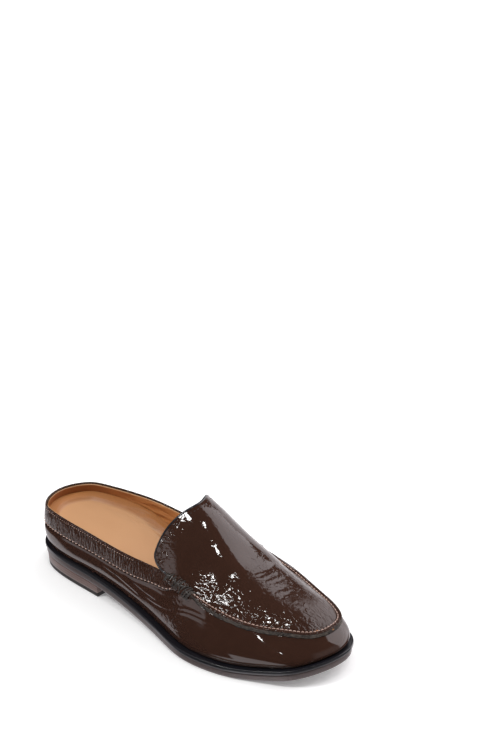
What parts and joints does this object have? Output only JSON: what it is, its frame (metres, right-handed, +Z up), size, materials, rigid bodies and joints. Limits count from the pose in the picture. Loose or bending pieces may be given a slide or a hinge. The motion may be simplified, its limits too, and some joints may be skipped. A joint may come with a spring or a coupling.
{
  "type": "backless loafer mule",
  "caption": "Flat backless loafer for the right foot: hollow leather upper open at collar and throat, raised apron, cupped footbed, welted sole and low stacked heel.",
  "frame": {"origin": "on the floor, in the middle of the shoe's length and width", "axes": "+X towards the toe, -Y towards the outer side of this right shoe, +Y towards the arch side, +Z up"},
  "size_m": [0.268, 0.0979, 0.0877],
  "materials": {
    "patent_leather": "glossy crinkled dark brown patent",
    "lining_leather": "smooth tan lining leather",
    "footbed_leather": "smooth pale tan leather",
    "welt_leather": "black polished welt",
    "sole_leather": "brown grey waxed sole edge",
    "heel_leather": "brown grey waxed heel stack",
    "heel_rubber": "matt dark rubber",
    "raw_edge": "cut leather edge, grey",
    "thread": "twisted brown thread"
  },
  "bodies": {
    "root": {"outsole": "sole_leather", "welt": "welt_leather", "heel_stack": "heel_leather", "heel_top_piece": "heel_rubber", "upper": "patent_leather", "insole": "footbed_leather"}
  },
  "joints": []
}
